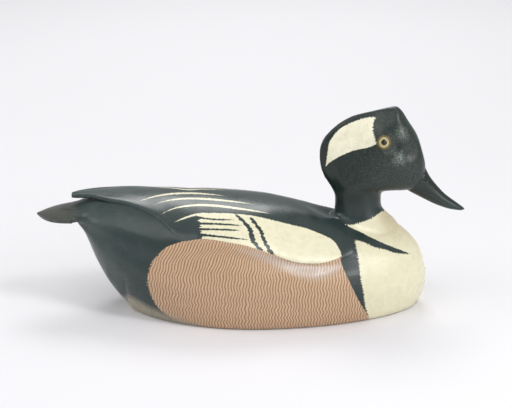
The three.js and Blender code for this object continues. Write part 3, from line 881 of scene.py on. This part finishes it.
# %% [markdown]
# ## Combed waves
#
# A drake's flank is barred with waves finer than a pencil line. The painter combs them into the
# wet tan paint, so that darker paint shows through in rows that zigzag down the side, 2.4 mm
# apart. Here a cosine over the place along the bird makes the lines, after that place has been
# pushed to and fro: by a lean high on the flank, by a zigzag down it and by a slow unsteadiness.

# %% Waves as nodes
WAVE_PITCH, ZIGZAG_PUSH = 2.42, 1.25
SLOW_SCALE, SLOW_PUSH, SHORT_SCALE, SHORT_PUSH = 0.03, 2.6, 0.12, 2.4
WAVE_EDGES = -0.35, 0.75
LEAN = [(-20, 0.5), (0, 0.0), (12, -0.8), (22, -1.0), (32, -2.6), (42, -6.5), (50, -10.5), (58, -14.5)]
LEAN_KEPT = [(-60, 1.0), (-20, 1.0), (20, 0.45), (60, 0.1)]
ROWS = [(-20, 0.0), (-10, 3.4), (0, 6.4), (10, 8.6), (25, 11.2), (40, 13.4), (58, 16.0)]


def combed_waves(tree, chart):
    x, h = chart["x"], chart["h"]
    lean = add_node(tree, "FloatCurve", h, points=LEAN)
    kept = add_node(tree, "FloatCurve", x, points=LEAN_KEPT)
    slow = add_node(tree, "TexNoise", chart["place"], sockets={"Scale": SLOW_SCALE, "Detail": 1.0})
    row = add_node(tree, "FloatCurve", h, points=ROWS)
    row = add_node(tree, "Math", slow, SLOW_PUSH, row, operation="MULTIPLY_ADD")
    zigzag = add_node(tree, "Math", row, 1.0, operation="PINGPONG")
    push = add_node(tree, "Math", zigzag, ZIGZAG_PUSH, x, operation="MULTIPLY_ADD")
    push = add_node(tree, "Math", lean, kept, push, operation="MULTIPLY_ADD")
    unsteady = add_node(tree, "TexNoise", chart["place"], sockets={"Scale": SHORT_SCALE, "Detail": 2.0})
    phase = add_node(tree, "Math", unsteady, SHORT_PUSH, push, operation="MULTIPLY_ADD")
    phase = add_node(tree, "Math", phase, math.tau / WAVE_PITCH, operation="MULTIPLY")
    wave = add_node(tree, "Math", phase, operation="COSINE")
    return add_node(tree, "MapRange", wave, *WAVE_EDGES, **SOFT)


# %% [markdown]
# ## Oil paint, brushed on by hand
#
# All of the decoy is painted in artist's oil paint over sanded cedar. It dries to a satin film. A
# brush leaves fine ridges in it that follow the stroke, here along the bird, and the coats are thin,
# so the tone under them comes through in soft clouds. What that gives the eye: a broad soft
# shine that breaks up along the strokes, colours that are never quite even, and a faint step
# where one coat lies over another. The ridges of a real brush are 0.2 mm apart, too fine for a
# picture of the whole bird, so they are drawn 1 mm apart.

# %% The film of paint
# The paler slate is laid in clouds, and towards the rump as painted light. The last cream is a painted shade,
# for the cream under the chin.
SLATE, SLATE_PALE, CREAM, CREAM_THIN, CREAM_CHIN_SHADE = "#1f2d2c", "#3d4b49", "#e9e3c5", "#d0c9aa", "#c4b796"
# The last of the tans is a painted sheen, for the pale band along the top of the flank.
TAN, TAN_DARK, TAN_LINE, TAN_PAINTED_SHEEN = "#d0b090", "#c69c7c", "#9c795a", "#cbc6c4"
BELLY_GREY, TAIL_GREY, TAIL_DARK = "#9e9582", "#474a43", "#23291f"
RIDGE_PITCH, RIDGE_RUN, RIDGE_HEIGHT = 1.0, 7.0, 0.045
COAT_STEP, WAVE_DEPTH = 0.07, 0.1
CLOUD_EDGES = 0.35, 0.65
# Each kind of cloud is (its size in mm, its least share, its greatest share, its seed).
# The slate's clouds make it uneven, and on the rump they carry its painted light.
TAN_CLOUDS, TAIL_CLOUDS, PALE_CLOUDS = (16, 0.0, 0.25, 2.0), (6, 0.2, 1.0, 5.0), (12, 0.55, 1.0, 0.0)
THIN_CLOUDS, THIN_FLECKS = (5, 0.0, 0.55, 1.0), (1.2, 0.3, 1.0, 4.0)
# Satin paint is (its least roughness, its greatest roughness), in clouds of ROUGH_SIZE mm.
BODY_ROUGH, HEAD_ROUGH, ROUGH_SIZE, ROUGH_SEED = (0.23, 0.34), (0.25, 0.36), 14, 3.0


def clouds(tree, chart, size, low, high, seed):
    """Soft patches about `size` mm wide, as thin or rubbed paint has."""
    cloud = add_node(tree, "TexNoise", chart["place"], seed, noise_dimensions="4D",
                     sockets={"Scale": 1 / size, "Detail": 3.0})
    return add_node(tree, "MapRange", cloud, *CLOUD_EDGES, low, high)


def brush_ridges(tree, chart):
    """The height in mm of the ridges left by the brush."""
    drawn_out = add_node(tree, "VectorMath", chart["place"],
                         (1 / RIDGE_RUN, 1 / RIDGE_PITCH, 1 / RIDGE_PITCH), operation="MULTIPLY")
    ridges = add_node(tree, "TexNoise", drawn_out, sockets={"Scale": 1.0, "Detail": 3.0})
    return add_node(tree, "Math", ridges, RIDGE_HEIGHT, operation="MULTIPLY")


def satin_finish(tree, shader, chart, paint, relief, roughness):
    """Links the paint's colour, its relief in mm as a bump, and the roughness of satin oil paint."""
    tree.links.new(paint, shader.inputs["Base Color"])
    bump = add_node(tree, "Bump", sockets={"Strength": 1.0, "Distance": 1 * MM, "Height": relief})
    tree.links.new(bump, shader.inputs["Normal"])
    uneven = clouds(tree, chart, ROUGH_SIZE, *roughness, ROUGH_SEED)
    tree.links.new(uneven, shader.inputs["Roughness"])


# %% Slate and cream paint, with painted light on the rump and painted shade under the chin
# Each fade is (the place where it starts, the place where it is full), in mm.
# The chin's fades place the painted shade of the head on the cream under the chin.
RUMP_FADE, CHIN_FADE, CHIN_FRONT, CHIN_TOP = (-60.0, -135.0), (40.0, 74.0), (92.0, 118.0), (104.0, 98.0)
# The first two shares are the least and the most of paler slate; the most, on the rump, is painted light. The
# last share is the painted shade under the chin.
LEAST_PALE, MOST_PALE_ON_RUMP, MOST_CHIN_SHADE = 0.25, 0.85, 0.85


def slate_uneven_with_rump_light(tree, chart):
    """Slate oil paint, paler in clouds of uneven tone, and paler towards the rump as painted light.
    That it is wear is a guess.
    """
    # Painted light: the slate is painted paler towards the rump, in clouds.
    rubbed = add_node(tree, "MapRange", chart["x"], *RUMP_FADE, LEAST_PALE, MOST_PALE_ON_RUMP)
    paler_share = inside(tree, rubbed, clouds(tree, chart, *PALE_CLOUDS))
    return coats(tree, linear(SLATE), (paler_share, SLATE_PALE))


def cream_thinned_and_shaded(tree, chart, colour):
    """Cream oil paint, thin in places, and darker under the chin, where the darkening is a painted
    shade, the shade of the head."""
    thin = inside(tree, clouds(tree, chart, *THIN_CLOUDS), clouds(tree, chart, *THIN_FLECKS))
    # Painted shade: the cream under the chin is darkened where the head would shade it.
    chin_shade = inside(tree, add_node(tree, "MapRange", chart["h"], *CHIN_FADE, 0.0, MOST_CHIN_SHADE, **SOFT),
                     add_node(tree, "MapRange", chart["x"], *CHIN_FRONT, **SOFT),
                     add_node(tree, "MapRange", chart["h"], *CHIN_TOP))
    return coats(tree, linear(colour), (thin, CREAM_THIN), (chin_shade, CREAM_CHIN_SHADE))


# %% Oil paint on the carved body
QUILL_PITCH, QUILL_FAN, QUILL_EDGES, QUILL_WANDER = 3.0, (-180, -140, 1.35, 0.9), (0.3, 1.0), 3.0
TAIL_FADE, TAIL_TOP = (-136, -152), (92.5, 90.5)
TAIL_CORE, TAIL_CORE_LOW = (-164, -156), [(-170, 80.5), (-140, 81.5)]
BELLY_FRONT, UNDERSIDE_RISE = (-36, -42), (1.6, 0.2)
# The second share is how strongly the painted sheen covers the top of the flank.
MOST_QUILL, MOST_PAINTED_SHEEN = 0.75, 0.46


def tail_feathers(tree, chart):
    """Fine lines down the tail, as wide as the quills of its feathers, 3 mm apart."""
    fan = add_node(tree, "MapRange", chart["x"], *QUILL_FAN)
    across = add_node(tree, "Math", chart["y"], fan, operation="MULTIPLY")
    unsteady = add_node(tree, "TexNoise", chart["place"], sockets={"Scale": 0.1, "Detail": 2.0})
    across = add_node(tree, "Math", unsteady, QUILL_WANDER, across, operation="MULTIPLY_ADD")
    across = add_node(tree, "Math", across, math.tau / QUILL_PITCH, operation="MULTIPLY")
    quills = add_node(tree, "Math", across, operation="COSINE")
    return add_node(tree, "MapRange", quills, *QUILL_EDGES, 0.0, MOST_QUILL)


def painted_body():
    material, tree, shader = new_material("satin_oil_paint_on_cedar_body")
    chart = chart_of(tree)
    x, z, h = chart["x"], chart["z"], chart["h"]
    flank, waves = within(tree, chart, FLANK_SIDES), combed_waves(tree, chart)
    cream = any_of(tree, cream_panel(tree, chart), within(tree, chart, BREAST_SIDES),
                   within(tree, chart, COLLAR_SIDES), cream_strokes(tree, chart))
    tail = inside(tree, add_node(tree, "MapRange", x, *TAIL_FADE, **SOFT),
                  add_node(tree, "MapRange", z, *TAIL_TOP))
    tail_core = inside(tree, clouds(tree, chart, *TAIL_CLOUDS),
                       add_node(tree, "MapRange", x, *TAIL_CORE, **SOFT),
                       painted_side(tree, x, h, TAIL_CORE_LOW, blur=1.5))
    tail_dark = any_of(tree, tail_feathers(tree, chart), tail_core)
    belly = inside(tree, painted_side(tree, x, h, BELLY, "below", 0.8, 4, 4.5, seed=17),
                   add_node(tree, "MapRange", x, *BELLY_FRONT))
    underside = add_node(tree, "MapRange", z, *UNDERSIDE_RISE)
    # A painted sheen: a pale band along the top of the flank, laid over the waves.
    ridge = brushed_stroke(tree, x, h, PAINTED_SHEEN_RIDGE, PAINTED_SHEEN_HALF, blur=4.5)
    tan = coats(tree, linear(TAN), (clouds(tree, chart, *TAN_CLOUDS), TAN_DARK), (waves, TAN_LINE),
                (inside(tree, ridge, MOST_PAINTED_SHEEN), TAN_PAINTED_SHEEN))
    tail_paint = coats(tree, linear(TAIL_GREY), (tail_dark, TAIL_DARK))
    paint = coats(tree, slate_uneven_with_rump_light(tree, chart), (flank, tan), (tail, tail_paint), (belly, BELLY_GREY),
                  (cream, cream_thinned_and_shaded(tree, chart, CREAM)), (underside, BELLY_GREY))
    relief = add_node(tree, "Math", cream, COAT_STEP, brush_ridges(tree, chart), operation="MULTIPLY_ADD")
    relief = add_node(tree, "Math", inside(tree, flank, waves), -WAVE_DEPTH, relief, operation="MULTIPLY_ADD")
    satin_finish(tree, shader, chart, paint, relief, BODY_ROUGH)
    return material


give(body, painted_body())

# %% [markdown]
# ## Oil paint on the head
#
# The head is painted in the same slate and cream. Its cheeks are dabbed with the end of a stiff
# brush, which leaves a fine stipple that catches the light in sparks, so that they look like
# short feathers. The dabs are about 1 mm across. On the brow and on the lower cheek the dabs are
# painted paler in two patches. These are painted highlights, for gloss that the lamps here give
# too little of. The neck and the bill are brushed smooth, and the putty round each eye is touched
# in with brownish olive.

# %% Where the head's colours meet
NECK_EDGE = [
    (78.3, 68.9), (83.7, 68.9), (90.9, 70.9), (97.6, 73.2), (102.7, 75.8), (107.1, 79.0), (112.1, 81.6)]
CREST_TOP = [
    (65.1, 140.9), (67.8, 145.4), (71.3, 150.0), (74.8, 153.1), (78.7, 155.4), (87.4, 159.0), (96.4, 161.6),
    (102.6, 161.8)]
CREST_LEFT = [(119.9, 62.3), (133.1, 63.8), (140.9, 65.1), (145.4, 67.8), (150.0, 71.3), (155.4, 78.7)]
CREST_BOTTOM = [
    (62.3, 119.9), (65.8, 123.3), (70.1, 126.2), (76.6, 129.8), (86.1, 133.5), (96.2, 135.6), (103.0, 138.3)]
CREST_RIGHT = [(138.3, 103.0), (143.5, 101.7), (149.6, 100.4), (155.7, 100.6), (161.8, 102.6)]
CREST_SIDES = [("x", "above", CREST_BOTTOM, 0.35, 1.6, 3), ("x", "below", CREST_TOP, 0.7, 1.1, 8),
               ("h", "above", CREST_LEFT, 0.4, 1.5, 4), ("h", "below", CREST_RIGHT, 0.9, 1.3, 5)]
LID_OLIVE, HEAD_SLATE, HEAD_DAB, HEAD_CREAM = "#6f5c2c", "#1a2622", "#46524a", "#f2eed6"
# The last pair of edges belongs to the painted highlights on the brow and the lower cheek.
DAB_SIZE, DAB_HEIGHT, DAB_EDGES, PAINTED_HIGHLIGHT_EDGES = 0.95, 0.1, (0.5, 0.66), (0.4, 0.62)
CHEEK_BACK, CHEEK_FRONT, CHEEK_LOW, THROAT_FRONT = (66.0, 88.0), (146.0, 138.0), (96.0, 108.0), 128.0
# The last share is the most that the painted highlights cover of their patches.
LID_FADE, FOOT_FADE, MOST_LIT, MOST_PAINTED_HIGHLIGHT = (5.6, 6.3), (96.0, 82.0), 0.8, 0.9
# Two painted highlights, on the brow and on the lower cheek: each is (its middle, its reach in mm), then the
# paler dab colour laid there.
PAINTED_HIGHLIGHT_SPOTS, PAINTED_HIGHLIGHT_DAB = [((124.5, 15.0, 151.5), 9.5), ((122.0, 19.0, 131.5), 9.5)], "#77827a"


def away_from(tree, chart, spot):
    """The distance in mm from a spot on the head, the same on both sides."""
    folded = add_node(tree, "CombineXYZ", chart["x"], chart["y"], chart["z"])
    return add_node(tree, "VectorMath", folded, spot, operation="DISTANCE").node.outputs["Value"]


# %% Oil paint on the carved head
def painted_head():
    material, tree, shader = new_material("satin_oil_paint_on_cedar_head")
    chart = chart_of(tree)
    x, h = chart["x"], chart["h"]
    throat = inside(tree, painted_side(tree, x, h, NECK_EDGE, "below", 0.9, 1.2, seed=6),
                    add_node(tree, "Math", x, THROAT_FRONT, operation="LESS_THAN"))
    crest = within(tree, chart, CREST_SIDES)
    lid = add_node(tree, "MapRange", away_from(tree, chart, (EYE_X, EYE_Y, EYE_Z)), *LID_FADE, 1.0, 0.0)
    cheek = inside(tree, add_node(tree, "MapRange", x, *CHEEK_BACK),
                   add_node(tree, "MapRange", x, *CHEEK_FRONT), add_node(tree, "MapRange", h, *CHEEK_LOW))
    dabs = add_node(tree, "TexNoise", chart["place"],
                    sockets={"Scale": 1 / DAB_SIZE, "Detail": 2.0, "Roughness": 0.6})
    lit_dabs = inside(tree, cheek, add_node(tree, "MapRange", dabs, *DAB_EDGES, 0.0, MOST_LIT))
    # Painted highlights: paler dabs in two patches, on the brow and on the lower cheek.
    highlight_spots = any_of(tree, *[
        add_node(tree, "MapRange", away_from(tree, chart, spot), reach, 1.0, 0.0, MOST_PAINTED_HIGHLIGHT, **SOFT)
        for spot, reach in PAINTED_HIGHLIGHT_SPOTS])
    highlight_dabs = inside(tree, highlight_spots, add_node(tree, "MapRange", dabs, *PAINTED_HIGHLIGHT_EDGES))
    neck_foot = add_node(tree, "MapRange", chart["z"], *FOOT_FADE, **SOFT)
    paint = coats(tree, linear(HEAD_SLATE), (neck_foot, slate_uneven_with_rump_light(tree, chart)), (lit_dabs, HEAD_DAB),
                  (highlight_dabs, PAINTED_HIGHLIGHT_DAB), (crest, cream_thinned_and_shaded(tree, chart, HEAD_CREAM)),
                  (throat, cream_thinned_and_shaded(tree, chart, CREAM)), (lid, LID_OLIVE))
    cream = any_of(tree, crest, throat)
    relief = add_node(tree, "Math", cream, COAT_STEP, brush_ridges(tree, chart), operation="MULTIPLY_ADD")
    relief = add_node(tree, "Math", inside(tree, dabs, cheek), DAB_HEIGHT, relief, operation="MULTIPLY_ADD")
    satin_finish(tree, shader, chart, paint, relief, HEAD_ROUGH)
    return material


give(head, painted_head())

# %% [markdown]
# ## Paint behind glass
#
# The back of a glass eye is enamelled: a dark brown pupil and a pale straw-yellow iris, with a
# browner rim. The enamel is smooth and seen through the dome, which magnifies it a little and
# carries one small bright reflection. The glass is plain clear soda glass, polished.

# %% Painted iris and clear glass
STRAW, STRAW_RIM, PUPIL = "#fff0b4", "#b8964a", "#2c1a0b"
RIM_FADE, PUPIL_FADE = (3.7, 4.4), (2.35, 2.1)
ENAMEL_ROUGH, ENAMEL_SHINE, GLASS_ROUGH, GLASS_IOR = 0.5, 0.1, 0.02, 1.5


def painted_iris():
    material, tree, shader = new_material("enamel_on_back_of_glass_eye")
    reach = add_node(tree, "Attribute", attribute_name="reach_mm").node.outputs["Fac"]
    rim = add_node(tree, "MapRange", reach, *RIM_FADE)
    pupil = add_node(tree, "MapRange", reach, *PUPIL_FADE)
    enamel = coats(tree, linear(STRAW), (rim, STRAW_RIM), (pupil, PUPIL))
    tree.links.new(enamel, shader.inputs["Base Color"])
    shader.inputs["Roughness"].default_value = ENAMEL_ROUGH
    shader.inputs["Specular IOR Level"].default_value = ENAMEL_SHINE
    return material


def clear_glass():
    material, tree, shader = new_material("clear_soda_glass")
    shader.inputs["Roughness"].default_value = GLASS_ROUGH
    shader.inputs["IOR"].default_value = GLASS_IOR
    shader.inputs["Transmission Weight"].default_value = 1.0
    return material


iris_paint, glass = painted_iris(), clear_glass()
for iris, dome in eyes.values():
    give(iris, iris_paint)
    give(dome, glass)

# %% [markdown]
# ## The studio
#
# The decoy stands in a white room on a wide sheet of pale matt paper, which scatters light evenly
# and mirrors nothing. Most of the light comes from the walls all round, which is the world colour
# here, so the shadows are faint. Softboxes add the rest. A small bright one, high in front and to
# the right, draws the sheen along the top of the flank. Two lower on the right light the bill and
# the lores. Two large ones on the left soften the shadows on the rump, one overhead fills the
# back, and one behind lights the paper, so that it stays brightest behind the bird. Colours are
# shown as plain sRGB, so the hex values of the paints come out as mixed.

# %% Floor and light
PAPER, PAPER_ROUGH, PAPER_HALF = "#e9e7ea", 0.9, 6
WALL, WALL_STRENGTH = "#eef1f2", 0.54
# Each softbox is (its name, its place, what it faces, its sides in metres, its watts).
SOFTBOXES = [
    ("bright", (0.53, -0.52, 1.12), (0.03, 0.0, 0.05), (0.3, 0.4), 3.9),
    ("right", (1.01, -0.74, 0.66), (0.03, 0.0, 0.05), (0.38, 0.42), 3.3),
    ("low", (0.89, -1.01, 0.34), (0.05, 0.0, 0.08), (0.6, 0.6), 1.7),
    ("left", (-1.29, 0.0, 0.54), (0.03, 0.0, 0.05), (0.8, 0.7), 4.2),
    ("high_left", (-0.66, -0.58, 1.13), (0.03, 0.0, 0.05), (0.8, 0.7), 2.8),
    ("overhead", (0.0, -0.1, 1.45), (0.0, -0.1, 0.0), (1.5, 1.0), 1.2),
    ("rear", (0.03, 1.4, 1.7), (0.03, 1.3, 0.0), (1.0, 1.0), 17.5)]

sheet_form = bmesh.new()
bmesh.ops.create_grid(sheet_form, x_segments=1, y_segments=1, size=PAPER_HALF)
sheet = as_object("paper_sheet", sheet_form)
sheet_form.free()
paper, _, paper_shader = new_material("matt_white_paper")
paper_shader.inputs["Base Color"].default_value = linear(PAPER)
paper_shader.inputs["Roughness"].default_value = PAPER_ROUGH
give(sheet, paper)

bpy.context.scene.view_settings.view_transform = "Standard"
room = bpy.data.worlds.new("white_room")
bpy.context.scene.world = room
room.use_nodes = True
room.node_tree.nodes["Background"].inputs["Color"].default_value = linear(WALL)
room.node_tree.nodes["Background"].inputs["Strength"].default_value = WALL_STRENGTH
for name, place, aim, sides, watts in SOFTBOXES:
    lamp = bpy.data.lights.new(f"{name}_softbox", "AREA")
    lamp.shape, lamp.size, lamp.size_y, lamp.energy = "RECTANGLE", *sides, watts
    light = bpy.data.objects.new(lamp.name, lamp)
    light.location = place
    light.rotation_euler = (Vector(aim) - light.location).to_track_quat("-Z", "Y").to_euler()
    bpy.context.scene.collection.objects.link(light)
print("hung", len(SOFTBOXES), "softboxes")

# %% [markdown]
# ## The camera
#
# The camera stands 1.25 m away, straight at the decoy's right side and 17 degrees above it.

# %% Camera
LENS_MM, SENSOR_MM, CAMERA_PLACE, CAMERA_TILT = 104.48, 36, (0.0042, -1.1954, 0.4525), 73

camera_data = bpy.data.cameras.new("camera")
camera_data.lens, camera_data.sensor_width = LENS_MM, SENSOR_MM
camera = bpy.data.objects.new("camera", camera_data)
camera.location = CAMERA_PLACE
camera.rotation_euler = (math.radians(CAMERA_TILT), 0, 0)
bpy.context.scene.collection.objects.link(camera)
bpy.context.scene.camera = camera
